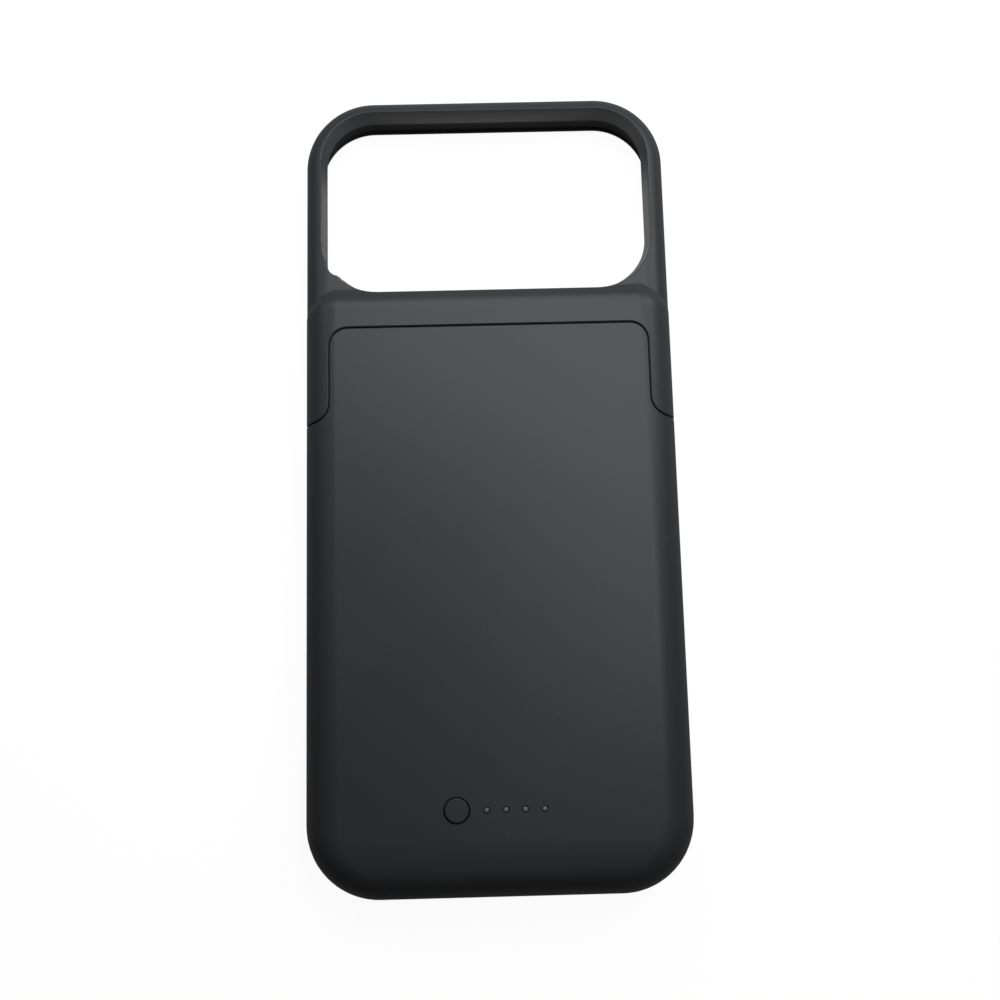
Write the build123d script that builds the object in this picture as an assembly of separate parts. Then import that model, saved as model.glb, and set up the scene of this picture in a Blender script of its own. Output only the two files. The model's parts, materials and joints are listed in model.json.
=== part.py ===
from build123d import *
from math import cos, radians, sin, sqrt, tan
import os

# Phone that the case holds
phone_width = 78.0
phone_length = 163.4
phone_thickness = 8.75
phone_corner_radius = 13.4
phone_clearance = 0.3

# Housing walls
side_wall = 2.15
back_wall = 1.55
chin_depth = 14.0
front_lip_height = 1.2
front_lip_overhang = 0.5
front_lip_ease = 0.5
front_lip_corner_radius = 12.6
front_edge_ease = 0.6
tray_thickness = 1.0
tray_fit = 0.2
tray_ledge = 1.5

# Battery pack, which sets the height of the back
battery_thickness = 4.0
battery_side_room = 0.65
battery_edge_ease = 0.8
battery_corner_radius = 2.4
battery_pad_thickness = 0.3
battery_pad_margin = 6.0
battery_headroom = 0.2
battery_end_room = 1.0
battery_board_room = 6.0

# Outer form
body_edge_start = 9.5
frame_edge_start = 9.1
end_curve_run = 12.5
end_curve_radius = 32.0
ramp_foot_from_top = 46.8
ramp_angle = 35.0
ramp_round = 5.0
ramp_straight = 0.8
ramp_foot_sink = 0.15

# Camera window
camera_guard_height = 4.45
window_lip_width = 2.7
window_lip_land = 0.4
window_wall_draft = 16.0
window_foot_from_top = 46.3
window_foot_radius = 11.7

# Nick in the lip at one corner of the window
nick_radius = 3.1
nick_width = 4.4
nick_top_from_top = 35.2
nick_floor_from_top = 43.3

# Seam between the frame and the body
seam_from_top = 56.5
seam_from_side = 5.9
seam_side_from_top = 77.55
seam_tip_radius = 4.2
seam_sweep_radius = 4.0
seam_end_gap = 0.3
seam_side_gap = 0.2
seam_edge_ease = 0.2

# Slide fit under the frame
slide_clearance = 0.2
tongue_reach = 6.4
tongue_wall = 1.5
rail_depth = 1.7
rail_height = 1.0
rail_end_margin = 1.5

# Button, lamps and the board under them
button_from_bottom = 18.65
button_x = -9.1
button_diameter = 5.1
button_gap = 0.3
button_recess = 0.05
button_travel = 0.4
button_flange_width = 1.0
button_flange_height = 0.8
button_flange_play = 0.2
button_edge_ease = 0.2
lamp_first_x = -2.85
lamp_pitch = 4.05
lamp_count = 4
lamp_hole_diameter = 1.5
lamp_tip_gap = 0.08
lamp_tip_recess = 0.3
guide_bar_width = 2.4
guide_bar_height = 1.0

# Push switch
switch_width = 4.2
switch_height = 0.9
plunger_diameter = 2.0
plunger_gap = 0.1
plunger_foot_gap = 0.04
plunger_overtravel = 0.1

# Main board
board_width = 58.0
board_length = 19.0
board_thickness = 1.0
board_ahead_of_button = 6.5
board_rib_width = 4.0
board_rib_length = 12.0
board_rib_inset = 3.0
led_length = 1.6
led_width = 0.8
led_height = 0.7

# Screws
screw_diameter = 1.6
screw_head_diameter = 2.8
screw_head_height = 0.7
screw_depth = 1.7
screw_hole_gap = 0.1

# Parts on the main board
chip_width = 5.0
chip_height = 0.8
chip_from_end = 21.0
inductor_width = 6.0
inductor_height = 1.9
inductor_corner = 1.0
inductor_from_end = 12.0
capacitor_length = 2.0
capacitor_width = 1.2
capacitor_height = 0.9
capacitor_count = 5
capacitor_pitch = 2.2
capacitor_from_switch = 6.0
capacitor_from_bottom = 3.0

# Battery leads
lead_diameter = 1.0
lead_spacing = 3.0
lead_x = -18.0
lead_overlap = 4.0
lead_gap = 0.1

# Connector chin
chin_wall = 1.2
chin_cheek_tip = 1.0
connector_board_width = 30.0
connector_board_thickness = 0.8
connector_board_margin = 0.6
connector_post_width = 4.0
connector_post_x = 11.5
flex_width = 8.0
flex_thickness = 0.2
flex_foot = 2.2
flex_gap = 0.1

# Plug that enters the phone
plug_width = 8.25
plug_height = 2.4
plug_wall = 0.3
plug_reach = 6.4
plug_hole_gap = 0.15
plug_mouth_width = 6.7
plug_mouth_height = 0.75
plug_mouth_depth = 5.0
plug_holder_width = 11.5
plug_holder_depth = 3.2
plug_holder_skirt = 1.0

# Charge port in the bottom end
port_width = 8.94
port_height = 3.16
port_wall = 0.3
port_depth = 6.4
port_back = 1.2
port_hole_gap = 0.25
port_recess = 0.6
port_tongue_width = 6.7
port_tongue_height = 0.7
port_tongue_reach = 4.4
contact_count = 12
contact_pitch = 0.5
contact_width = 0.25
contact_thickness = 0.06
contact_length = 3.0

# Openings in the walls
key_slot_height = 5.0
key_slot_draft = 20.0
volume_slot_from_top = 48.0
volume_slot_length = 44.0
power_slot_from_top = 56.0
power_slot_length = 27.0
camera_slot_from_top = 109.5
camera_slot_length = 26.0
sound_slot_width = 1.1
sound_slot_length = 5.0
sound_slot_pitch = 2.2
sound_slot_count = 6
sound_slot_x = 21.0
sound_port_height = 3.0

# Tolerances for picking edges and faces
pick_gap = 0.1
pick_touch = 0.0001
pick_angle = 8.0
pick_steep = 0.5

# Places worked out from the sizes above
case_width = phone_width + 2 * (phone_clearance + side_wall)
case_length = phone_length + 2 * phone_clearance + side_wall + chin_depth
half_width = case_width / 2
cavity_corner_radius = phone_corner_radius + phone_clearance
outer_corner_radius = cavity_corner_radius + side_wall
top_end = case_length / 2
bottom_end = -top_end
cavity_half_width = half_width - side_wall
cavity_top_end = top_end - side_wall
cavity_bottom_end = bottom_end + chin_depth
cavity_floor = front_lip_height + phone_thickness + phone_clearance
tray_back = cavity_floor + tray_thickness
battery_front = tray_back + battery_pad_thickness
back_inside = battery_front + battery_thickness + battery_headroom
back_height = back_inside + back_wall
rim_radius = back_height - body_edge_start
room_half_width = half_width - rim_radius
battery_width = 2 * (room_half_width - battery_side_room)
frame_height = cavity_floor + camera_guard_height
ramp_length = (back_height - frame_height + ramp_foot_sink) / sin(radians(ramp_angle))
ramp_foot_round = (ramp_length - ramp_straight) / tan(radians(ramp_angle / 2)) - rim_radius
window_half_width = cavity_half_width - window_lip_width
window_flare_start = cavity_floor + window_lip_land
seam_y = top_end - seam_from_top
seam_side_y = top_end - seam_side_from_top
seam_half_width = half_width - seam_from_side
tongue_end = seam_y + tongue_reach
shoulder_inset = side_wall + slide_clearance
button_y = bottom_end + button_from_bottom
button_bottom = back_inside - button_flange_play - button_flange_height
board_back = button_bottom - button_travel - plunger_overtravel - switch_height
board_front = board_back - board_thickness
board_bottom_y = button_y - board_ahead_of_button
board_top_y = board_bottom_y + board_length
board_screw_x = board_width / 2 - board_rib_inset
chip_x = board_width / 2 - chip_from_end
inductor_x = board_width / 2 - inductor_from_end
board_screw_y = board_bottom_y + board_length / 2
battery_bottom_y = board_top_y + battery_board_room
battery_top_y = seam_y - tongue_wall - battery_end_room
phone_middle = front_lip_height + phone_thickness / 2
connector_board_front = phone_middle + port_height / 2
chin_hollow_bottom = bottom_end + side_wall + tray_fit + chin_wall
chin_hollow_top = cavity_bottom_end - chin_wall
chin_middle_y = (chin_hollow_bottom + chin_hollow_top) / 2
cheek_rise = cavity_corner_radius - chin_cheek_tip - tray_fit
cheek_top = cavity_bottom_end + cavity_corner_radius - sqrt(cavity_corner_radius**2 - cheek_rise**2)
screw_hole = screw_diameter + 2 * screw_hole_gap
port_front_y = bottom_end + port_recess
lamp_xs = [lamp_first_x + lamp_pitch * i for i in range(lamp_count)]


def block(low, high):
    """A box between two opposite corners."""
    size = [b - a for a, b in zip(low, high)]
    centre = [(a + b) / 2 for a, b in zip(low, high)]
    return Pos(*centre) * Box(*size)


def cylinder_up(x, y, low, high, diameter):
    """An upright cylinder between two heights."""
    return Pos(x, y, (low + high) / 2) * Cylinder(diameter / 2, high - low)


def plan_prism(inset, low, high):
    """The rounded plan of the case, drawn in by an inset, between two heights."""
    outline = RectangleRounded(
        case_width - 2 * inset, case_length - 2 * inset, outer_corner_radius - inset
    )
    return Pos(0, 0, low) * extrude(outline, high - low)


def front_edge_waste():
    """What the eased edge at the front takes away from the plan of the case."""
    slab = plan_prism(0, 0, front_lip_height)
    return slab - chamfer(slab.faces().sort_by(Axis.Z)[0].edges(), front_edge_ease)


def body_side_profile(inset):
    """The body seen from the side: bottom end, end curve, flat back, ramp and the foot of the ramp."""
    end = bottom_end + inset
    flat = back_height - inset
    curve_start = bottom_end + end_curve_run
    curve = end_curve_radius - inset
    curve_end = back_height - end_curve_radius + sqrt(curve**2 - (curve_start - end) ** 2)
    slope = radians(ramp_angle)
    ramp_y = top_end - ramp_foot_from_top - inset * sin(slope)
    ramp_z = frame_height - inset * cos(slope)
    foot = frame_height - ramp_foot_sink - inset
    corner_y = ramp_y - (flat - ramp_z) / tan(slope)
    foot_y = ramp_y + (ramp_z - foot) / tan(slope)
    last_y = foot_y + ramp_foot_round
    outline = [
        Line((end, 0), (end, curve_end)),
        TangentArc((curve_start, flat), (end, curve_end), tangent=(-1, 0)),
        Polyline(
            (curve_start, flat), (corner_y, flat), (foot_y, foot), (last_y, foot), (last_y, 0), (end, 0)
        ),
    ]
    face = make_face(outline)
    face = fillet(face.vertices().sort_by_distance((corner_y, flat))[0], ramp_round - inset)
    return fillet(face.vertices().sort_by_distance((foot_y, foot))[0], ramp_foot_round + inset)


def body_form(inset):
    """The outer form of the battery body, drawn in by an inset."""
    profile = extrude(Plane.YZ * body_side_profile(inset), case_width, both=True)
    form = plan_prism(inset, 0, back_height) & profile
    end = bottom_end + inset

    def on_rim(edge):
        middle = edge.center()
        across = abs(edge.tangent_at(0.5).X) > cos(radians(pick_angle))
        return middle.Z > frame_edge_start + pick_gap and (not across or middle.Y < end + pick_gap)

    return fillet(form.edges().filter_by(on_rim), rim_radius - inset)


def frame_form():
    """The outer form of the frame round the camera window."""
    prism = plan_prism(0, 0, frame_height)
    prism &= block((-case_width, seam_y, 0), (case_width, case_length, frame_height))

    def on_rim(edge):
        middle = edge.center()
        return middle.Z > frame_height - pick_gap and middle.Y > seam_y + pick_gap

    return fillet(prism.edges().filter_by(on_rim), frame_height - frame_edge_start)


def cavity_plan(inset, corner_radius):
    """The plan of the space for the phone, drawn in by an inset."""
    width = 2 * (cavity_half_width - inset)
    length = cavity_top_end - cavity_bottom_end - 2 * inset
    return Pos(0, (cavity_top_end + cavity_bottom_end) / 2) * RectangleRounded(width, length, corner_radius)


def cavity_prism(low, high):
    """The space for the phone between two heights."""
    return Pos(0, 0, low) * extrude(cavity_plan(0, cavity_corner_radius), high - low)


def front_opening():
    """The opening inside the front lip, with its edge eased at the front."""
    opening = extrude(cavity_plan(front_lip_overhang, front_lip_corner_radius), front_lip_height)
    mouth = cavity_plan(front_lip_overhang - front_lip_ease, front_lip_corner_radius + front_lip_ease)
    return opening + extrude(mouth, front_lip_ease, taper=45)


def seam_block(side):
    """The plan of the body at the seam, as a block: side is -1 for the body, 1 for the frame."""
    half = seam_half_width + side * seam_side_gap / 2
    top = seam_y + side * seam_end_gap / 2
    shelf = seam_side_y + side * seam_end_gap / 2
    plan = Pos(0, shelf - case_length / 2) * Rectangle(2 * case_width, case_length)
    plan += Pos(0, (shelf + top) / 2) * Rectangle(2 * half, top - shelf)
    tips = plan.vertices().filter_by(lambda v: abs(v.Y - top) < pick_touch)
    plan = fillet(tips, seam_tip_radius + side * seam_side_gap / 2)
    roots = plan.vertices().filter_by(lambda v: abs(v.Y - shelf) < pick_touch and abs(v.X) < half_width)
    plan = fillet(roots, seam_sweep_radius - side * seam_side_gap / 2)
    return extrude(plan, case_width, both=True)


def edges_on(shape, faces, lowest):
    """The edges of a shape that lie on the given faces, above a height, apart from upright ones."""

    def lies_on(edge):
        if edge.center().Z < lowest or abs(edge.tangent_at(0.5).Z) > cos(radians(pick_angle)):
            return False
        points = [Vertex(edge.position_at(t)) for t in (0.2, 0.5, 0.8)]
        return all(min(p.distance_to(f) for f in faces) < pick_touch for p in points)

    return shape.edges().filter_by(lies_on)


def upright_faces(shape):
    """The side faces of an upright block."""
    return shape.faces().filter_by(lambda f: abs(f.normal_at().Z) < pick_steep)


def window_cut():
    """The camera window: a straight land at the lip, then walls that flare out to the ridge."""
    high = cavity_top_end - window_lip_width
    low = top_end - window_foot_from_top
    plan = Pos(0, (low + high) / 2) * Rectangle(2 * window_half_width, high - low)
    crown = plan.vertices().group_by(Axis.Y)[-1]
    plan = fillet(crown, cavity_corner_radius - window_lip_width)
    foot = plan.vertices().filter_by(lambda v: abs(v.Y - low) < pick_touch)
    plan = fillet(foot, window_foot_radius)
    land = Pos(0, 0, front_lip_height) * extrude(plan, window_flare_start - front_lip_height)
    rise = back_height - window_flare_start
    return land + Pos(0, 0, window_flare_start) * extrude(plan, rise, taper=-window_wall_draft)


def window_nick():
    """The nick broken out of the lip at the window's lower left corner."""
    bite = block(
        (-window_half_width, top_end - nick_floor_from_top, cavity_floor),
        (nick_width - window_half_width, top_end - nick_top_from_top, frame_height),
    )
    corner = bite.edges().filter_by(Axis.Z).sort_by_distance((-half_width, 0, frame_height))[0]
    return fillet(corner, nick_radius)


def key_slot(side, centre_from_top, length):
    """An opening in a side wall for the phone's keys, wider at the outside."""
    spread = 2 * side_wall * tan(radians(key_slot_draft))
    outside = Plane(
        origin=(side * half_width, top_end - centre_from_top, phone_middle),
        x_dir=(0, 1, 0),
        z_dir=(-side, 0, 0),
    )
    mouth = SlotOverall(length + spread, key_slot_height + spread)
    return extrude(outside * mouth, side_wall + front_lip_overhang, taper=key_slot_draft)


def end_slot(width, height, low_y, high_y):
    """A slot with round ends at the height of the connectors, along Y."""
    plane = Plane(origin=(0, low_y, phone_middle), x_dir=(1, 0, 0), z_dir=(0, 1, 0))
    return extrude(plane * SlotOverall(width, height), high_y - low_y)


def upper_frame():
    """The frame that slides on along Y, with its window, crossbar, arms, rails and front lip."""
    frame = body_form(0) + frame_form()
    frame -= cavity_prism(front_lip_height, cavity_floor)
    frame -= front_opening()
    frame -= front_edge_waste()
    frame -= window_cut()
    frame -= window_nick()
    seam = seam_block(1)
    frame -= seam
    frame = chamfer(edges_on(frame, upright_faces(seam), frame_edge_start), seam_edge_ease)
    frame -= frame_pocket()
    for side in (-1, 1):
        frame += rail(side)
    frame -= key_slot(1, volume_slot_from_top, volume_slot_length)
    frame -= key_slot(-1, power_slot_from_top, power_slot_length)
    return frame


def frame_pocket():
    """The room under the frame for the shoulders, the tongue and the edge of the tray."""
    end = tongue_end + slide_clearance
    reach = block((-case_width, bottom_end, cavity_floor), (case_width, end, back_height))
    tray_room = cavity_prism(cavity_floor, tray_back + slide_clearance)
    return (body_form(side_wall) & reach) + (tray_room & reach)


def rail(side):
    """One guide rail on the inside of an arm, which runs above the edge of the tray."""
    inner = cavity_half_width - rail_depth
    low = tray_back + slide_clearance
    corners = [
        (side * inner, seam_side_y + rail_end_margin, low),
        (side * (cavity_half_width + slide_clearance), seam_y - rail_end_margin, low + rail_height),
    ]
    return block([min(c) for c in zip(*corners)], [max(c) for c in zip(*corners)])


def rail_groove(side):
    """The groove for a rail in the shoulder of the body, open at the top end."""
    inner = cavity_half_width - rail_depth - slide_clearance
    corners = [
        (side * inner, seam_side_y + rail_end_margin - seam_end_gap, tray_back),
        (side * case_width, case_length, tray_back + rail_height + 2 * slide_clearance),
    ]
    return block([min(c) for c in zip(*corners)], [max(c) for c in zip(*corners)])


def battery_space():
    """The hollow behind the tray: a wide low room, and a higher one between the rounded edges."""
    step = back_height - shoulder_inset - tongue_wall
    space = plan_prism(side_wall + tray_ledge, tray_back, step) & block(
        (-case_width, bottom_end, tray_back), (case_width, seam_side_y - tongue_wall, step)
    )
    space += block(
        (-room_half_width, board_bottom_y, tray_back), (room_half_width, tongue_end - tongue_wall, step)
    )
    return space + block(
        (-room_half_width, board_bottom_y - flex_foot, tray_back),
        (room_half_width, seam_y - tongue_wall, back_inside),
    )


def board_rib(x):
    """A rib inside the back that one end of the main board is screwed to."""
    half_length = board_rib_length / 2
    return block(
        (x - board_rib_width / 2, board_screw_y - half_length, board_back),
        (x + board_rib_width / 2, board_screw_y + half_length, back_inside + back_wall / 2),
    )


def lower_shell():
    """The battery body: back, sides, bottom end, and the shoulder and tongue under the frame."""
    seam = seam_block(-1)
    shell = body_form(0) & seam
    shell = chamfer(edges_on(shell, upright_faces(seam), frame_edge_start), seam_edge_ease)
    shell += body_form(shoulder_inset) & block(
        (-case_width, seam_side_y - tongue_wall, tray_back), (case_width, tongue_end, back_height)
    )
    shell -= plan_prism(side_wall, front_lip_height, tray_back)
    shell -= front_opening()
    shell -= front_edge_waste()
    shell -= plan_prism(side_wall, 0, front_lip_height) & block(
        (-case_width, bottom_end, 0), (case_width, cheek_top + tray_fit, front_lip_height)
    )
    shell -= battery_space()
    hole_end = board_back + screw_depth + screw_hole_gap
    for side in (-1, 1):
        shell -= rail_groove(side)
        shell += board_rib(side * board_screw_x)
        shell -= cylinder_up(side * board_screw_x, board_screw_y, board_back, hole_end, screw_hole)
    shell -= cylinder_up(button_x, button_y, back_inside, back_height, button_diameter + 2 * button_gap)
    for x in lamp_xs:
        shell -= cylinder_up(x, button_y, back_inside, back_height, lamp_hole_diameter)
    shell -= end_slot(
        port_width + 2 * port_hole_gap, port_height + 2 * port_hole_gap, bottom_end, bottom_end + side_wall
    )
    shell -= key_slot(-1, camera_slot_from_top, camera_slot_length)
    return shell


def sound_slots():
    """The two rows of slots in the front of the chin, beside the plug."""
    slot = extrude(Rectangle(sound_slot_width, sound_slot_length), chin_wall)
    row = GridLocations(sound_slot_pitch, 0, sound_slot_count, 1)
    return [
        Pos(side * sound_slot_x, chin_middle_y, 0) * place * slot for side in (-1, 1) for place in row
    ]


def sound_port(x):
    """The opening from the end of the phone into the chin, behind one row of slots."""
    half = sound_slot_count * sound_slot_pitch / 2
    return block(
        (x - half, chin_hollow_top, phone_middle - sound_port_height / 2),
        (x + half, cavity_bottom_end, phone_middle + sound_port_height / 2),
    )


def inner_tray():
    """The bed behind the phone, with the connector chin at its bottom end."""
    edge = side_wall + tray_fit
    tray = plan_prism(edge, cavity_floor, tray_back)
    tray &= block((-case_width, bottom_end, cavity_floor), (case_width, tongue_end, tray_back))
    chin = plan_prism(edge, 0, cavity_floor) - cavity_prism(0, cavity_floor)
    tray += chin & block((-case_width, bottom_end, 0), (case_width, cheek_top, cavity_floor))
    tray -= plan_prism(edge + chin_wall, chin_wall, tray_back) & block(
        (-case_width, bottom_end, chin_wall), (case_width, chin_hollow_top, tray_back)
    )
    for x in (-connector_post_x, connector_post_x):
        half = connector_post_width / 2
        low = (x - half, chin_middle_y - half, chin_wall / 2)
        tray += block(low, (x + half, chin_middle_y + half, connector_board_front))
        bottom = connector_board_front - screw_depth - screw_hole_gap
        tray -= cylinder_up(x, chin_middle_y, bottom, connector_board_front, screw_hole)
    tray -= end_slot(
        plug_width + 2 * plug_hole_gap, plug_height + 2 * plug_hole_gap, chin_hollow_top, cavity_bottom_end
    )
    tray -= end_slot(
        port_width + 2 * port_hole_gap, port_height + 2 * port_hole_gap, bottom_end, chin_hollow_bottom
    )
    for cut in sound_slots():
        tray -= cut
    for side in (-1, 1):
        tray -= sound_port(side * sound_slot_x)
    return tray


def battery_pouch():
    """The sealed pack."""
    pack = block(
        (-battery_width / 2, battery_bottom_y, battery_front),
        (battery_width / 2, battery_top_y, battery_front + battery_thickness),
    )
    pack = fillet(pack.edges().filter_by(Axis.Z), battery_corner_radius)
    return chamfer(pack.faces().sort_by(Axis.Z)[-1].edges(), battery_edge_ease)


def battery_pad():
    """The foam pad between the pack and the tray."""
    return block(
        (-battery_width / 2 + battery_pad_margin, battery_bottom_y + battery_pad_margin, tray_back),
        (battery_width / 2 - battery_pad_margin, battery_top_y - battery_pad_margin, battery_front),
    )


def battery_lead(x):
    """One lead from the pack to its pad on the board."""
    start = (x, battery_bottom_y, board_back + lead_diameter / 2 + lead_gap)
    section = Plane(origin=start, z_dir=(0, -1, 0)) * Circle(lead_diameter / 2)
    return extrude(section, battery_bottom_y - board_top_y + lead_overlap)


def main_board():
    """The charging board, with its screw holes."""
    board = block(
        (-board_width / 2, board_bottom_y, board_front), (board_width / 2, board_top_y, board_back)
    )
    for x in (-board_screw_x, board_screw_x):
        board -= cylinder_up(x, board_screw_y, board_front, board_back, screw_hole)
    return board


def screw(x, y, seat, direction, plate):
    """A screw with its head on a board: direction is 1 where its shank points along +Z."""
    tip = seat + direction * (plate + screw_depth)
    head = seat - direction * screw_head_height
    shank = cylinder_up(x, y, min(seat, tip), max(seat, tip), screw_diameter)
    return shank + cylinder_up(x, y, min(seat, head), max(seat, head), screw_head_diameter)


def main_board_screws():
    """The screws of the main board."""
    return Compound(
        [
            screw(x, board_screw_y, board_front, 1, board_thickness)
            for x in (-board_screw_x, board_screw_x)
        ]
    )


def connector_board_screws():
    """The screws of the connector board."""
    seat = connector_board_front + connector_board_thickness
    return Compound(
        [
            screw(x, chin_middle_y, seat, -1, connector_board_thickness)
            for x in (-connector_post_x, connector_post_x)
        ]
    )


def connector_board():
    """The small board that carries the plug and the charge port."""
    half = connector_board_width / 2
    low = (-half, chin_hollow_bottom + connector_board_margin, connector_board_front)
    back = connector_board_front + connector_board_thickness
    board = block(low, (half, chin_hollow_top - connector_board_margin, back))
    for x in (-connector_post_x, connector_post_x):
        board -= cylinder_up(x, chin_middle_y, connector_board_front, back, screw_hole)
    return board


def board_flex():
    """The ribbon from the connector board up to the front of the main board."""
    low = connector_board_front + connector_board_thickness
    riser = board_bottom_y - flex_gap
    foot = block((-flex_width / 2, riser - flex_foot, low), (flex_width / 2, riser, low + flex_thickness))
    rise = block((-flex_width / 2, riser - flex_thickness, low), (flex_width / 2, riser, board_front))
    head = block(
        (-flex_width / 2, riser - flex_thickness, board_front - flex_thickness),
        (flex_width / 2, riser + flex_foot, board_front),
    )
    return foot + rise + head


def charge_controller():
    """The charger chip, on the front of the main board."""
    half = chip_width / 2
    y = (button_y + board_top_y) / 2
    return block(
        (chip_x - half, y - half, board_front - chip_height), (chip_x + half, y + half, board_front)
    )


def boost_inductor():
    """The moulded inductor, on the back of the main board."""
    half = inductor_width / 2
    y = (button_y + board_top_y) / 2
    top = board_back + inductor_height
    body = block((inductor_x - half, y - half, board_back), (inductor_x + half, y + half, top))
    return chamfer(body.edges().filter_by(Axis.Z), inductor_corner)


def ceramic_capacitors():
    """A row of chip capacitors on the back of the main board, beside the push switch."""
    x = button_x - capacitor_from_switch
    row = []
    for i in range(capacitor_count):
        y = board_bottom_y + capacitor_from_bottom + i * capacitor_pitch
        row.append(
            block(
                (x - capacitor_length / 2, y - capacitor_width / 2, board_back),
                (x + capacitor_length / 2, y + capacitor_width / 2, board_back + capacitor_height),
            )
        )
    return Compound(row)


def indicator_leds():
    """The lamps under the light guide."""
    return Compound(
        [
            block(
                (x - led_length / 2, button_y - led_width / 2, board_back),
                (x + led_length / 2, button_y + led_width / 2, board_back + led_height),
            )
            for x in lamp_xs
        ]
    )


def light_guide():
    """The clear bar under the back, with a tip in each lamp hole."""
    half = guide_bar_width / 2
    bar = block(
        (lamp_xs[0] - half, button_y - half, back_inside - guide_bar_height),
        (lamp_xs[-1] + half, button_y + half, back_inside),
    )
    for x in lamp_xs:
        bar += cylinder_up(
            x, button_y, back_inside, back_height - lamp_tip_recess, lamp_hole_diameter - 2 * lamp_tip_gap
        )
    return bar


def power_button():
    """The round button cap, with the flange that keeps it in."""
    top = back_height - button_recess
    flange = button_diameter + 2 * button_flange_width
    cap = cylinder_up(button_x, button_y, button_bottom, button_bottom + button_flange_height, flange)
    stem = cylinder_up(button_x, button_y, button_bottom, top, button_diameter)
    stem = chamfer(stem.faces().sort_by(Axis.Z)[-1].edges(), button_edge_ease)
    return cap + stem


def switch_body():
    """The housing of the push switch."""
    half = switch_width / 2
    low = (button_x - half, button_y - half, board_back)
    body = block(low, (button_x + half, button_y + half, board_back + switch_height))
    bore = plunger_diameter + 2 * plunger_gap
    floor = board_back + plunger_foot_gap
    return body - cylinder_up(button_x, button_y, floor, board_back + switch_height, bore)


def switch_plunger():
    """The stem of the push switch, which the button presses."""
    low = board_back + 2 * plunger_foot_gap + button_travel
    return cylinder_up(button_x, button_y, low, button_bottom, plunger_diameter)


def phone_plug_shell():
    """The metal shell of the plug that enters the phone."""
    low = chin_hollow_top - plug_holder_depth / 2
    tip = cavity_bottom_end + plug_reach
    shell = end_slot(plug_width, plug_height, low, tip)
    return shell - end_slot(plug_width - 2 * plug_wall, plug_height - 2 * plug_wall, low, tip)


def phone_plug_insulator():
    """The moulded core of the plug, with its mouth."""
    low = chin_hollow_top - plug_holder_depth / 2
    tip = cavity_bottom_end + plug_reach - plug_wall
    core = end_slot(plug_width - 2 * plug_wall, plug_height - 2 * plug_wall, low, tip)
    return core - block(
        (-plug_mouth_width / 2, tip - plug_mouth_depth, phone_middle - plug_mouth_height / 2),
        (plug_mouth_width / 2, tip, phone_middle + plug_mouth_height / 2),
    )


def contact_rows(start, end, upper, lower):
    """Two rows of contacts between two places along Y, standing up from lower and down from upper."""
    strips = []
    for i in range(contact_count):
        x = (i - (contact_count - 1) / 2) * contact_pitch
        for face, out in ((upper, -contact_thickness), (lower, contact_thickness)):
            strips.append(
                block(
                    (x - contact_width / 2, start, min(face, face + out)),
                    (x + contact_width / 2, end, max(face, face + out)),
                )
            )
    return Compound(strips)


def phone_plug_contacts():
    """The contacts on both faces of the plug's mouth."""
    tip = cavity_bottom_end + plug_reach - plug_wall
    return contact_rows(
        tip - contact_length - plug_wall,
        tip - plug_wall,
        phone_middle + plug_mouth_height / 2,
        phone_middle - plug_mouth_height / 2,
    )


def phone_plug_holder():
    """The block that holds the plug against the wall of the chin and under its board."""
    half = plug_holder_width / 2
    holder = block(
        (-half, chin_hollow_top - plug_holder_depth, phone_middle - plug_height / 2 - plug_holder_skirt),
        (half, chin_hollow_top, connector_board_front),
    )
    seat = chin_hollow_top - plug_holder_depth / 2
    return holder - end_slot(plug_width, plug_height, seat, chin_hollow_top)


def charge_port_shell():
    """The metal shell of the charge port."""
    end = port_front_y + port_depth
    shell = end_slot(port_width, port_height, port_front_y, end)
    return shell - end_slot(port_width - 2 * port_wall, port_height - 2 * port_wall, port_front_y, end)


def charge_port_tongue():
    """The moulded tongue of the charge port, with its base in the shell."""
    end = port_front_y + port_depth
    base = end_slot(port_width - 2 * port_wall, port_height - 2 * port_wall, end - port_back, end)
    return base + block(
        (-port_tongue_width / 2, end - port_back - port_tongue_reach, phone_middle - port_tongue_height / 2),
        (port_tongue_width / 2, end, phone_middle + port_tongue_height / 2),
    )


def charge_port_contacts():
    """The contacts on both faces of the port's tongue."""
    end = port_front_y + port_depth - port_back
    return contact_rows(
        end - contact_length,
        end,
        phone_middle - port_tongue_height / 2,
        phone_middle + port_tongue_height / 2,
    )


def battery_lead_positive():
    """The lead to the positive pad."""
    return battery_lead(lead_x - lead_spacing / 2)


def battery_lead_negative():
    """The lead to the negative pad."""
    return battery_lead(lead_x + lead_spacing / 2)


PIECES = (
    lower_shell,
    upper_frame,
    inner_tray,
    battery_pouch,
    battery_pad,
    battery_lead_positive,
    battery_lead_negative,
    main_board,
    main_board_screws,
    charge_controller,
    boost_inductor,
    ceramic_capacitors,
    indicator_leds,
    light_guide,
    power_button,
    switch_body,
    switch_plunger,
    connector_board,
    connector_board_screws,
    board_flex,
    phone_plug_shell,
    phone_plug_insulator,
    phone_plug_contacts,
    phone_plug_holder,
    charge_port_shell,
    charge_port_tongue,
    charge_port_contacts,
)

os.makedirs("parts", exist_ok=True)
for piece in PIECES:
    export_step(piece(), f"parts/{piece.__name__}.step")
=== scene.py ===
import json
import math
from contextlib import contextmanager

import bpy
from bpy.props import FloatProperty, FloatVectorProperty, IntProperty, PointerProperty, StringProperty
from mathutils import Matrix, Vector


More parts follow.
